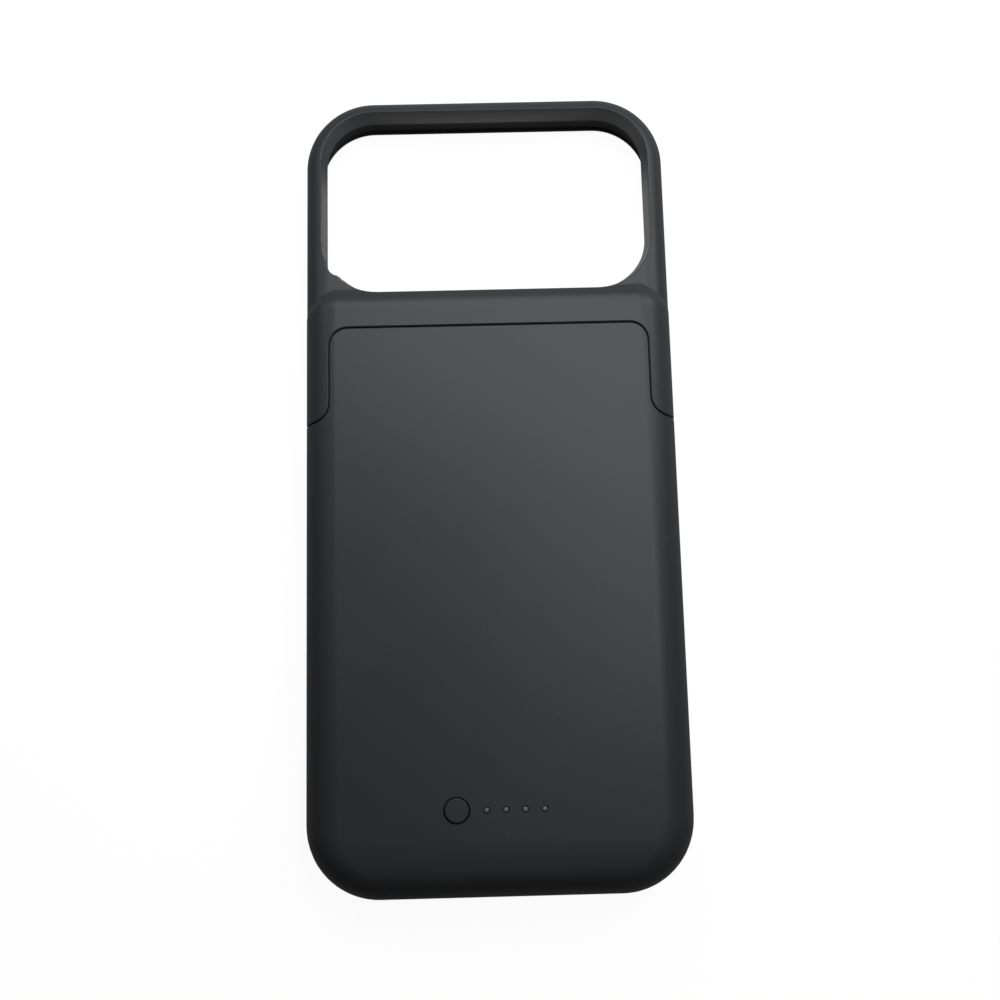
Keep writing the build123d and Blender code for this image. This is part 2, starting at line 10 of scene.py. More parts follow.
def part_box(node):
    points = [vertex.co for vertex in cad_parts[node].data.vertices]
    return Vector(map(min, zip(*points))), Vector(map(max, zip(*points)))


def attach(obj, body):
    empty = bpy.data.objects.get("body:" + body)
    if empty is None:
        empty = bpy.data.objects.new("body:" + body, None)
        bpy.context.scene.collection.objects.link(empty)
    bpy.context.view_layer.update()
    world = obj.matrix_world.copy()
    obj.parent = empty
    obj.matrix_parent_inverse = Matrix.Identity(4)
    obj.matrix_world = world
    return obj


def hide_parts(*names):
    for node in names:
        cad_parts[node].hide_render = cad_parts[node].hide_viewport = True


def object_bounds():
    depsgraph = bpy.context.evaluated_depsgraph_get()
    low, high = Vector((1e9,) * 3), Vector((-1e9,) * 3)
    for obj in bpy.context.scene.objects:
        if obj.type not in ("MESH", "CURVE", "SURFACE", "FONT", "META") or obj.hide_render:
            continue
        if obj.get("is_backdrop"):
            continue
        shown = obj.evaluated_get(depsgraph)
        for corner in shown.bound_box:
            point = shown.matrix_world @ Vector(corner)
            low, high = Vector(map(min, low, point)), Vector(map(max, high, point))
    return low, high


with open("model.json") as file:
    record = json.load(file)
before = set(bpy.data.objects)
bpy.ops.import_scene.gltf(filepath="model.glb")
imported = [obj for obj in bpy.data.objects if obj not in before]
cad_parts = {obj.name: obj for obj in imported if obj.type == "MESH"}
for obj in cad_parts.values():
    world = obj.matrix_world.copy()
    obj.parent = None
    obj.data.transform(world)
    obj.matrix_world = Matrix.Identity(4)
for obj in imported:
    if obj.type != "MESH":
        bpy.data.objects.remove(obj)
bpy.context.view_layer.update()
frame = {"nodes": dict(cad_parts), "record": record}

bl_info = {
    "name": "Phone Battery Case",
    "version": (1, 0, 0),
    "blender": (4, 5, 0),
    "location": "3D View > Sidebar > Battery Case",
    "description": "Finishes the solids of a phone battery case and sets them in a small studio",
    "category": "Object",
}

MM = 0.001
BODY_OF = {node: body for body, nodes in frame["record"]["behaviour"]["bodies"].items() for node in nodes}
SLOT_OF = {part["node"]: part["material_slot"] for part in frame["record"]["subparts"]}
MERGE_DISTANCE = 0.03 * MM
SMOOTH_ANGLE = math.radians(32)
SHARP_ANGLE = math.radians(38)
# A face is flat across an axis where its normal's share along that axis is above this.
FLAT = 0.99999
# The worn wall of the nick, in mm: each stretch of it inward from the left side of the frame, and
# how far that stretch is moved towards the camera end.
NICK_WEAR = ((5.0, 5.45, 0.4), (5.45, 5.75, 0.25), (6.4, 7.15, -0.1), (7.15, 8.05, 0.19))
# Where that wall starts and ends, in mm from the camera end.
NICK_SPAN = (40.9, 43.4)
WHITE = "#FFFFFF"


def length(name, description, default):
    """A length in metres that the panel shows with its unit."""
    return FloatProperty(name=name, description=description, default=default, unit="LENGTH", precision=5)


def colour(name, description, default):
    """A colour written as an sRGB hex value."""
    return StringProperty(name=name, description=description, default=default, maxlen=7)


def lengths(name, description, default):
    """Three lengths in metres: a place, or the sides of a small form."""
    return FloatVectorProperty(
        name=name, description=description, default=default, subtype="XYZ", unit="LENGTH"
    )


def watts(name, description, default):
    """The power of a lamp in watts."""
    return FloatProperty(name=name, description=description, default=default, unit="POWER", min=0)


def factor(name, description, default):
    """A share between nothing and all."""
    return FloatProperty(name=name, description=description, default=default, min=0, max=1, subtype="FACTOR")


def brightness(name, description, default):
    """The strength of a glow, as a multiple of plain white."""
    return FloatProperty(name=name, description=description, default=default, min=0)


class CaseFinishes(bpy.types.PropertyGroup):
    """Colours of the visible finishes."""

    shell: colour("Shell", "Soft-touch coat of the shell, the frame and the button", "#303133")
    tray: colour("Tray", "Moulding of the tray and the plug holder", "#2F3033")
    guide: colour("Light guide", "Smoky resin of the light guide", "#7B7D80")
    board: colour("Boards", "Solder mask of the boards", "#14402A")
    foil: colour("Pouch", "Laminated foil of the battery pouch", "#B9BCC1")


class CaseEdges(bpy.types.PropertyGroup):
    """Rounds that finish the edges of the mouldings and the small parts."""

    moulding: length("Moulding edge", "Round on the sharp edges of the mouldings", 0.1 * MM)
    small_part: length("Small part edge", "Round on the edges of the small parts", 0.06 * MM)
    ridge: length("Ridge", "Round on the ridge above the window and on the lip round it", 0.3 * MM)
    lamp_tip: length("Lamp tip", "Round on the tips of the light guide", 0.5 * MM)
    contact: length("Contact edge", "Round on the edges of the plated contacts", 0.015 * MM)
    steps: IntProperty(name="Steps", description="Faces across a rounded edge", default=2, min=1, max=4)


class CaseDetails(bpy.types.PropertyGroup):
    """Small parts that are modelled on the solids."""

    fold_reach: length("Fold reach", "How far the folded sides of the pouch stand out", 0.4 * MM)
    fold_margin: length("Fold margin", "From the ends of the pouch to the ends of its folds", 2.5 * MM)
    tape_width: length("Tape width", "Across the tape on the lead end of the pouch", 44 * MM)
    tape_run: length("Tape run", "Along the back of the pouch", 6 * MM)
    tape_thickness: length("Tape thickness", "Film with its adhesive", 0.06 * MM)
    pouch_ease: length("Pouch ease", "Chamfer round the back of the pouch that the tape follows", 0.8 * MM)
    solder_radius: length("Solder radius", "Foot of a soldered joint", 0.95 * MM)
    solder_height: length("Solder height", "Height of a soldered joint", 0.8 * MM)
    end_cap: length("End cap", "Tinned length at each end of a capacitor", 0.45 * MM)
    end_cap_lip: length("End cap lip", "How far the tin stands out from the ceramic", 0.03 * MM)
    chip_pad: lengths(
        "Chip pad", "Reach, width and thickness of a pad of the controller", (0.35 * MM, 0.3 * MM, 0.12 * MM)
    )
    chip_pads: IntProperty(
        name="Chip pads", description="Pads along one side of the controller", default=6, min=1
    )
    recess: lengths(
        "Cross recess", "Length, width and depth of the recess in a screw", (1.02 * MM, 0.216 * MM, 0.4 * MM)
    )


class CaseStage(bpy.types.PropertyGroup):
    """Camera, floor and light."""

    lens: FloatProperty(
        name="Lens", description="Focal length for a 36 mm wide frame", default=43.2, unit="CAMERA"
    )
    camera_place: lengths(
        "Camera place", "Where the camera stands", (-1.456 * MM, -48.642 * MM, 274.42 * MM)
    )
    camera_turn: FloatVectorProperty(
        name="Camera turn", description="Turn about X, then Y, then Z from the world to the camera",
        subtype="EULER", unit="ROTATION",
        default=tuple(math.radians(angle) for angle in (-9.402, 0.666, 1.355)),
    )
    end_place: lengths("End light place", "Middle of the light over the camera end", (0.0, 0.1, 0.13))
    end_size: length("End light size", "Side of the light over the camera end", 0.14)
    end_power: watts("End light power", "Power of the light over the camera end", 0.19)
    over_place: lengths("Over light place", "Middle of the light high over the case", (0.1, 0.03, 0.3))
    over_size: length("Over light size", "Side of the light high over the case", 0.16)
    over_power: watts("Over light power", "Power of the light high over the case", 0.33)
    corner_place: lengths("Corner light place", "Middle of the light off the right corner", (0.25, 0.2, 0.22))
    corner_size: length("Corner light size", "Side of the light off the right corner", 0.2)
    corner_power: watts("Corner light power", "Power of the light off the right corner", 0.47)
    left_place: lengths("Left light place", "Middle of the light off the left corner", (-0.25, 0.2, 0.22))
    left_size: length("Left light size", "Side of the light off the left corner", 0.2)
    left_power: watts("Left light power", "Power of the light off the left corner", 0.16)
    sky: brightness("Sky", "Strength of the even light all round", 0.01)
    shine: factor("Shine", "Share of the white background that glossy faces show", 0.06)
    floor_size: length("Floor size", "Side of the square floor", 3.0)
    floor_seen: colour("Floor seen", "Floor as the camera sees it", "#D6D6D6")
    floor_bounce: colour("Floor bounce", "Floor to the light that bounces back on the case", "#848484")
    glow: factor("Glow", "Share of the white glow in the floor that the camera sees", 0.86)
    glow_strength: brightness("Glow strength", "Strength of the white glow", 1.1)
    gleam_inset: length("Gleam inset", "From the camera end to the middle of the gleam", 24 * MM)
    gleam_half_width: length("Gleam half width", "Half of the gleam across the window", 42 * MM)
    gleam_half_depth: length("Gleam half depth", "Half of the gleam along the window", 18 * MM)
    gleam_fade: factor("Gleam fade", "Share of the gleam over which it fades in", 0.2)


def linear(hex_colour):
    """An sRGB hex value as linear red, green, blue and alpha."""
    channels = [int(hex_colour[i:i + 2], 16) / 255 for i in (1, 3, 5)]
    return [c / 12.92 if c <= 0.04045 else ((c + 0.055) / 1.055) ** 2.4 for c in channels] + [1.0]


def add_node(tree, kind, settings=None, links=None):
    """A new node: settings are its own values or those of its sockets, and links lead into its sockets."""
    node = tree.nodes.new(kind)
    for key, value in (settings or {}).items():
        if isinstance(key, str) and hasattr(node, key):
            setattr(node, key, value)
        else:
            node.inputs[key].default_value = value
    for key, source in (links or {}).items():
        tree.links.new(source, node.inputs[key])
    return node


def new_material(name):
    """An empty material, its node tree and the coordinates of the object."""
    material = bpy.data.materials.new(name)
    material.use_nodes = True
    tree = material.node_tree
    tree.nodes.clear()
    place = add_node(tree, "ShaderNodeTexCoord").outputs["Object"]
    return material, tree, place


def soft_touch_coat(name, hex_colour):
    """Soft-touch rubber paint sprayed on a moulding."""
    # The spray gives a dead matte field with a fine grain, handling leaves it a little cloudy, and
    # a few specks of dust cling to it. The grain of 0.35 mm is drawn coarser than the real one.
    grain_size = 0.35 * MM
    cloud_size = 22 * MM
    speck_spacing = 7 * MM
    speck_core = 0.084 * MM
    speck_rim = 0.196 * MM
    material, tree, place = new_material(name)
    base = Vector(linear(hex_colour))
    grain = add_node(tree, "ShaderNodeTexNoise", {"Scale": 1 / grain_size, "Detail": 3.0}, {"Vector": place})
    cloud = add_node(tree, "ShaderNodeTexNoise", {"Scale": 1 / cloud_size, "Detail": 4.0}, {"Vector": place})
    tone = add_node(
        tree, "ShaderNodeMix",
        {"data_type": "RGBA", 6: base * 0.94, 7: base * 1.06}, {0: cloud.outputs["Fac"]},
    )
    speck = add_node(tree, "ShaderNodeTexVoronoi", {"Scale": 1 / speck_spacing}, {"Vector": place})
    dot = add_node(
        tree, "ShaderNodeMapRange",
        {
            "From Min": speck_core / speck_spacing,
            "From Max": speck_rim / speck_spacing,
            "To Min": 0.22,
            "To Max": 0.0,
        },
        {"Value": speck.outputs["Distance"]},
    )
    dusty = add_node(
        tree, "ShaderNodeMix",
        {"data_type": "RGBA", 7: linear("#8A8B8E")}, {0: dot.outputs["Result"], 6: tone.outputs[2]},
    )
    rough = add_node(
        tree, "ShaderNodeMapRange", {"To Min": 0.36, "To Max": 0.44}, {"Value": cloud.outputs["Fac"]},
    )
    bump = add_node(
        tree, "ShaderNodeBump", {"Strength": 0.35, "Distance": 0.02 * MM}, {"Height": grain.outputs["Fac"]},
    )
    shader = add_node(
        tree, "ShaderNodeBsdfPrincipled", {"IOR": 1.5, "Specular IOR Level": 0.25},
        {
            "Base Color": dusty.outputs[2],
            "Roughness": rough.outputs["Result"],
            "Normal": bump.outputs["Normal"],
        },
    )
    add_node(tree, "ShaderNodeOutputMaterial", None, {"Surface": shader.outputs["BSDF"]})
    return material


def grained(name, hex_colour, roughness, grain_mm, tone=0.06, relief_mm=0.01, strength=0.3, **sockets):
    """A finish of one colour with a grain of a given size in its tone, gloss and relief."""
    material, tree, place = new_material(name)
    base = Vector(linear(hex_colour))
    grain = add_node(
        tree, "ShaderNodeTexNoise", {"Scale": 1 / (grain_mm * MM), "Detail": 4.0}, {"Vector": place}
    )
    tint = add_node(
        tree, "ShaderNodeMix",
        {"data_type": "RGBA", 6: base * (1 - tone), 7: base * (1 + tone)}, {0: grain.outputs["Fac"]},
    )
    rough = add_node(
        tree, "ShaderNodeMapRange",
        {"To Min": max(roughness - 0.07, 0.02), "To Max": min(roughness + 0.07, 1.0)},
        {"Value": grain.outputs["Fac"]},
    )
    bump = add_node(
        tree, "ShaderNodeBump",
        {"Strength": strength, "Distance": relief_mm * MM}, {"Height": grain.outputs["Fac"]},
    )
    shader = add_node(
        tree, "ShaderNodeBsdfPrincipled", {key.replace("_", " "): value for key, value in sockets.items()},
        {
            "Base Color": tint.outputs[2],
            "Roughness": rough.outputs["Result"],
            "Normal": bump.outputs["Normal"],
        },
    )
    add_node(tree, "ShaderNodeOutputMaterial", None, {"Surface": shader.outputs["BSDF"]})
    return material


def make_finishes(finishes):
    """Every material of the case, by the record's name for its place."""
    return {
        "soft_touch_shell": soft_touch_coat("soft_touch_paint_on_abs", finishes.shell),
        "button_plastic": soft_touch_coat("soft_touch_paint_on_button", finishes.shell),
        # Glass-filled nylon from a spark-eroded mould: an even fine texture with a faint sheen.
        "tray_plastic": grained("spark_textured_nylon", finishes.tray, 0.5, 0.45, relief_mm=0.02),
        # Nylon film over aluminium, drawn over the pack: soft silver with shallow waves.
        "pouch_foil": grained(
            "laminated_pouch_foil", finishes.foil, 0.34, 9.0, tone=0.05, relief_mm=0.15, Metallic=0.9
        ),
        # Closed-cell foam: no gloss, and cells that show as a fine pitting.
        "foam_pad": grained("closed_cell_foam", "#2A2A2C", 0.95, 0.5, tone=0.2, relief_mm=0.08, strength=0.8),
        # Soft PVC drawn over the wire: saturated and slightly waxy.
        "lead_red": grained("red_pvc_insulation", "#A81C1A", 0.42, 1.5),
        "lead_black": grained("black_pvc_insulation", "#1C1C1D", 0.42, 1.5),
        # Green mask over copper on glass laminate: glossy, with pours that show through as paler patches.
        "circuit_board": grained(
            "solder_mask_on_laminate", finishes.board, 0.3, 2.2, tone=0.28, relief_mm=0.03
        ),
        # Bright zinc over steel: pale grey with a faint drift of tone.
        "screw_steel": grained("zinc_plated_steel", "#B4B7BB", 0.3, 0.6, Metallic=1.0),
        # Moulded epoxy: dark grey with a fine sandy surface.
        "chip_epoxy": grained("moulded_epoxy", "#222325", 0.62, 0.2),
        # Pressed iron powder: dark, dry and speckled.
        "inductor_core": grained("pressed_iron_powder", "#3C3D40", 0.75, 0.3, tone=0.25),
        # Fired ceramic: tan, smooth and nearly even.
        "capacitor_ceramic": grained("fired_ceramic", "#9C7F58", 0.35, 0.4),
        # Clear resin over a pale chip: glossy cream.
        "lamp_resin": grained("lamp_resin", "#EDE9CF", 0.2, 0.6, tone=0.03),
        # Smoky resin: lets a little light into its depth, so the tips look soft and grey.
        "guide_resin": grained(
            "smoky_resin", finishes.guide, 0.3, 0.8, tone=0.05, relief_mm=0.004, Transmission_Weight=0.25
        ),
        # Stamped and tinned steel: bright, with faint rolling marks.
        "switch_steel": grained("tinned_steel", "#C4C5C6", 0.28, 0.5, Metallic=1.0),
        # Moulded nylon: black and slightly waxy.
        "switch_stem": grained("moulded_nylon", "#232324", 0.45, 0.3),
        # Polyimide film over copper: amber and glossy.
        "flex_film": grained("polyimide_film", "#A4621E", 0.25, 2.0, tone=0.1),
        # Deep-drawn nickel-plated steel: bright with soft drawing marks.
        "connector_steel": grained("nickel_plated_steel", "#BDBEC0", 0.22, 0.9, Metallic=1.0),
        # Liquid crystal polymer: black, dense and slightly glossy.
        "connector_core": grained("moulded_polymer_core", "#161617", 0.4, 0.3),
        # Hard gold over nickel: warm and bright.
        "contact_gold": grained("hard_gold_plating", "#D9A441", 0.2, 0.4, Metallic=1.0),
    }


# Filled by the first operator, by the record's name for a material's place.
MATERIALS = {}


def case_values():
    """The values that the panel shows."""
    return bpy.context.scene.battery_case


def make_active(piece):
    """Leaves one object active and alone in the selection."""
    bpy.ops.object.select_all(action="DESELECT")
    piece.select_set(True)
    bpy.context.view_layer.objects.active = piece


@contextmanager
def edit_mode(kind=None):
    """Edit mode on the active piece, where a kind of element may be named to pick by."""
    bpy.ops.object.mode_set(mode="EDIT")
    if kind:
        bpy.ops.mesh.select_mode(type=kind)
    yield
    bpy.ops.object.mode_set(mode="OBJECT")


def clear_picks(mesh):
    """Leaves nothing picked, since a corner or a face that stays picked brings its edges back."""
    for part in (*mesh.vertices, *mesh.edges, *mesh.polygons):
        part.select = False


def merged_copy(node):
    """A copy of a solid's mesh with its corners merged, ready to be finished."""
    piece = bpy.data.objects.new(node + "_finished", frame["nodes"][node].data.copy())
    bpy.context.scene.collection.objects.link(piece)
    make_active(piece)
    with edit_mode():
        bpy.ops.mesh.select_all(action="SELECT")
        bpy.ops.mesh.customdata_custom_splitnormals_clear()
        bpy.ops.mesh.remove_doubles(threshold=MERGE_DISTANCE)
        bpy.ops.mesh.tris_convert_to_quads()
    return piece


def round_edges(piece, width, steps, chosen=None, clamp=True):
    """Rounds the sharp edges of a piece, or those of them whose middle a test picks.

    A clamped round is made narrower where there is no room for it, all along the piece.
    """
    make_active(piece)
    with edit_mode("EDGE"):
        bpy.ops.mesh.select_all(action="DESELECT")
        bpy.ops.mesh.edges_select_sharp(sharpness=SHARP_ANGLE)
    if chosen:
        places = piece.data.vertices
        sharp = [edge for edge in piece.data.edges if edge.select]
        clear_picks(piece.data)
        for edge in sharp:
            edge.select = chosen((places[edge.vertices[0]].co + places[edge.vertices[1]].co) / 2)
    with edit_mode("EDGE"):
        bpy.ops.mesh.bevel(offset=width, segments=steps, profile=0.5, clamp_overlap=clamp)


def shade(piece):
    """Smooth shading that leaves the flats flat."""
    make_active(piece)
    bpy.ops.object.shade_smooth_by_angle(angle=SMOOTH_ANGLE)
    modifier = piece.modifiers.new("even_normals", "WEIGHTED_NORMAL")
    modifier.keep_sharp = True
    bpy.ops.object.modifier_apply(modifier=modifier.name)
    keep_flats(piece.data)


def keep_flats(mesh):
    """Lets the rounds take over the normals of the flats that they run into, so that no flat looks dished."""
    flats = {}
    for face in mesh.polygons:
        if max(abs(value) for value in face.normal) > FLAT:
            for vertex in face.vertices:
                flats.setdefault(vertex, []).append(face.normal.copy())
    normals = [Vector(corner.vector) for corner in mesh.corner_normals]
    for face in mesh.polygons:
        for corner in face.loop_indices:
            near = flats.get(mesh.loops[corner].vertex_index, ())
            near = [normal for normal in near if normal.angle(face.normal) < SMOOTH_ANGLE]
            if near:
                normals[corner] = min(near, key=face.normal.angle)
    mesh.normals_split_custom_set(normals)


def seat(piece, slot, body="case"):
    """Shades a finished piece, gives it its material and lets it ride on its body."""
    shade(piece)
    piece.data.materials.clear()
    piece.data.materials.append(MATERIALS[slot])
    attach(piece, body)


def put_in_place(piece, node):
    """Lets a finished copy of a node take the node's place."""
    seat(piece, SLOT_OF[node], BODY_OF[node])
    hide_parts(node)


def finish_node(node, width, steps):
    """A finished copy of a solid in place of it."""
    piece = merged_copy(node)
    round_edges(piece, width, steps)
    put_in_place(piece, node)


def set_down(piece):
    """Writes the place, the turn and the scale of a piece into its mesh."""
    make_active(piece)
    bpy.ops.object.transform_apply(location=True, rotation=True, scale=True)


def box_between(name, low, high):
    """A box between two corners, a start for a small part."""
    bpy.ops.object.select_all(action="DESELECT")
    bpy.ops.mesh.primitive_cube_add(size=1, location=(low + high) / 2)
    piece = bpy.context.object
    piece.name = name
    piece.scale = high - low
    set_down(piece)
    return piece


def repeat(piece, places):
    """A piece at each of the places, as one object that keeps its name."""
    name = piece.name
    copies = []
    for place in places:
        copy = bpy.data.objects.new(name + "_copy", piece.data.copy())
        bpy.context.scene.collection.objects.link(copy)
        copy.matrix_world = place
        set_down(copy)
        copies.append(copy)
    bpy.data.objects.remove(piece)
    make_active(copies[0])
    for copy in copies:
        copy.select_set(True)
    bpy.ops.object.join()
    copies[0].name = name
    return copies[0]


def mesh_box(piece):
    """The lowest and the highest corner of a piece."""
    corners = [vertex.co for vertex in piece.data.vertices]
    return [Vector(pick(corner[i] for corner in corners) for i in range(3)) for pick in (min, max)]


def one_of(node):
    """The first of the like solids in a node, and the places of them all from it."""
    merged_copy(node)
    with edit_mode():
        bpy.ops.mesh.separate(type="LOOSE")
    parts = [(mesh_box(part)[0], part) for part in bpy.context.selected_objects]
    parts.sort(key=lambda item: [round(value, 6) for value in item[0]])
    first_low, first = parts[0]
    places = [Matrix.Translation(low - first_low) for low, part in parts]
    for low, part in parts[1:]:
        bpy.data.objects.remove(part)
    first.name = node + "_finished"
    return first, places


def finish_like(node, width, steps, work=None):
    """The like solids of a node: one is finished, copied to every place and seated there."""
    piece, places = one_of(node)
    if work:
        work(piece)
    round_edges(piece, width, steps)
    put_in_place(repeat(piece, places), node)


def cut(piece, cutter):
    """Takes the form of the cutter out of a piece."""
    make_active(piece)
    modifier = piece.modifiers.new("recess", "BOOLEAN")
    modifier.operation = "DIFFERENCE"
    modifier.solver = "EXACT"
    modifier.object = cutter
    bpy.ops.object.modifier_apply(modifier=modifier.name)
    bpy.data.objects.remove(cutter)


class CASE_OT_finishes(bpy.types.Operator):
    """Make the materials and give them to the solids"""

    bl_idname = "battery_case.finishes"
    bl_label = "Finishes"

    def execute(self, context):
        MATERIALS.update(make_finishes(case_values().finishes))
        for node, solid in frame["nodes"].items():
            for holder in solid.material_slots:
                holder.material = MATERIALS[SLOT_OF[node]]
        return {"FINISHED"}


class CASE_OT_housing(bpy.types.Operator):
    """Finish the shell, the frame and the tray"""

    bl_idname = "battery_case.housing"
    bl_label = "Housing"

    def execute(self, context):
        edges = case_values().edges
        finish_node("inner_tray", edges.moulding, edges.steps)
        self.finish_shell(edges)
        self.finish_frame(edges)
        return {"FINISHED"}

    def off_seam(self):
        """A test that leaves out the edges of the seam on the back, which stay crisp."""
        low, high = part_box("upper_frame")
        first, last = low.y - 1 * MM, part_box("lower_shell")[1].y
        return lambda place: place.z < high.z / 2 or not first < place.y < last

    def finish_shell(self, edges):
        piece = merged_copy("lower_shell")
        round_edges(piece, edges.moulding, edges.steps, self.off_seam())
        put_in_place(piece, "lower_shell")

    def finish_frame(self, edges):
        low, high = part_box("upper_frame")
        # The ridge and the lip run between the sides, near the back, down to the foot of the window
        # on the right and to a line above the nick on the left.
        side = high.x - 2.4 * MM
        crest = high.z - 4.3 * MM
        foot = high.y - 49 * MM
        above_nick = high.y - 30 * MM

        def on_ridge(place):
            end = above_nick if place.x < 0 else foot
            return abs(place.x) < side and place.y > end and place.z > crest

        piece = merged_copy("upper_frame")
        self.wear_nick(piece, low, high)
        # A line of corners across the arms lets the round of the ridge end cleanly above the nick.
        with edit_mode():
            bpy.ops.mesh.select_all(action="SELECT")
            bpy.ops.mesh.bisect(plane_co=(0, above_nick, 0), plane_no=(0, 1, 0))
        round_edges(piece, edges.ridge, edges.steps + 1, on_ridge, clamp=False)
        round_edges(piece, edges.moulding, edges.steps, self.off_seam())
        put_in_place(piece, "upper_frame")

    def wear_nick(self, piece, low, high):
        """The torn wall of the nick at the window's left foot: a blunt corner, a hollow and a small lump."""
        make_active(piece)
        start, end = NICK_SPAN
        for first, last, shift in NICK_WEAR:
            clear_picks(piece.data)
            for vertex in piece.data.vertices:
                inward = (vertex.co.x - low.x) / MM
                down = (high.y - vertex.co.y) / MM
                vertex.select = first < inward < last and start < down < end
            with edit_mode("VERT"):
                bpy.ops.transform.translate(value=(0, shift * MM, 0))


class CASE_OT_controls(bpy.types.Operator):
    """Finish the button and the light guide"""

    bl_idname = "battery_case.controls"
    bl_label = "Button and lamps"

    def execute(self, context):
        edges = case_values().edges
        for node in ("power_button", "switch_body", "switch_plunger"):
            finish_node(node, edges.small_part, edges.steps)
        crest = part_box("light_guide")[1].z - edges.lamp_tip / 2
        guide = merged_copy("light_guide")
        self.join_tops(guide, crest)
        round_edges(guide, edges.lamp_tip, edges.steps + 2, lambda place: place.z > crest, clamp=False)
        round_edges(guide, edges.small_part, edges.steps, lambda place: place.z < crest - edges.lamp_tip)
        put_in_place(guide, "light_guide")
        return {"FINISHED"}

    def join_tops(self, guide, crest):
        """Makes one face of the flat end of every tip, so that its round can run in evenly."""
        clear_picks(guide.data)
        for face in guide.data.polygons:
            face.select = face.center.z > crest and face.normal.z > FLAT
        with edit_mode("FACE"):
            bpy.ops.mesh.dissolve_faces()


class CASE_OT_pack(bpy.types.Operator):
    """Finish the battery with its folds, its tape, its pad and its leads"""

    bl_idname = "battery_case.pack"
    bl_label = "Battery"

    def execute(self, context):
        edges, details = case_values().edges, case_values().details
        for node in ("battery_pouch", "battery_pad", "battery_lead_positive", "battery_lead_negative"):
            finish_node(node, edges.small_part, edges.steps)
        low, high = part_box("battery_pouch")
        self.fold_sides(edges, details, low, high)
        self.stick_tape(details, low, high)
        return {"FINISHED"}

    def fold_sides(self, edges, details, low, high):
        """The sealed seams along the pouch, folded up against its sides."""
        reach, margin = details.fold_reach, details.fold_margin
        fold = box_between(
            "pouch_side_folds",
            Vector((high.x, low.y + margin, low.z + reach)),
            Vector((high.x + reach, high.y - margin, high.z - 2 * details.pouch_ease)),
        )
        round_edges(fold, reach / 3, edges.steps)
        middle = Matrix.Translation((low + high) / 2)
        half_turn = middle @ Matrix.Rotation(math.pi, 4, "Z") @ middle.inverted()
        seat(repeat(fold, [Matrix.Identity(4), half_turn]), "pouch_foil")

    def stick_tape(self, details, low, high):
        """Film stuck over the lead end of the pouch, from its back down its end."""
        bpy.ops.object.select_all(action="DESELECT")
        ease = details.pouch_ease
        middle = Vector(((low.x + high.x) / 2, low.y + ease + details.tape_run / 2, high.z))
        bpy.ops.mesh.primitive_plane_add(size=1, location=middle)
        tape = bpy.context.object
        tape.name = "pouch_end_tape"
        tape.scale = (details.tape_width, details.tape_run, 1)
        set_down(tape)
        clear_picks(tape.data)
        for vertex in tape.data.vertices:
            vertex.select = vertex.co.y < middle.y
        for line in tape.data.edges:
            line.select = all(tape.data.vertices[i].select for i in line.vertices)
        with edit_mode("EDGE"):
            for step in ((0, -ease, -ease), (0, 0, -2 * ease)):
                bpy.ops.mesh.extrude_region_move(TRANSFORM_OT_translate={"value": step})
        wall = tape.modifiers.new("film", "SOLIDIFY")
        wall.thickness = details.tape_thickness
        wall.offset = 1.0
        wall.use_even_offset = True
        bpy.ops.object.modifier_apply(modifier=wall.name)
        seat(tape, "flex_film")


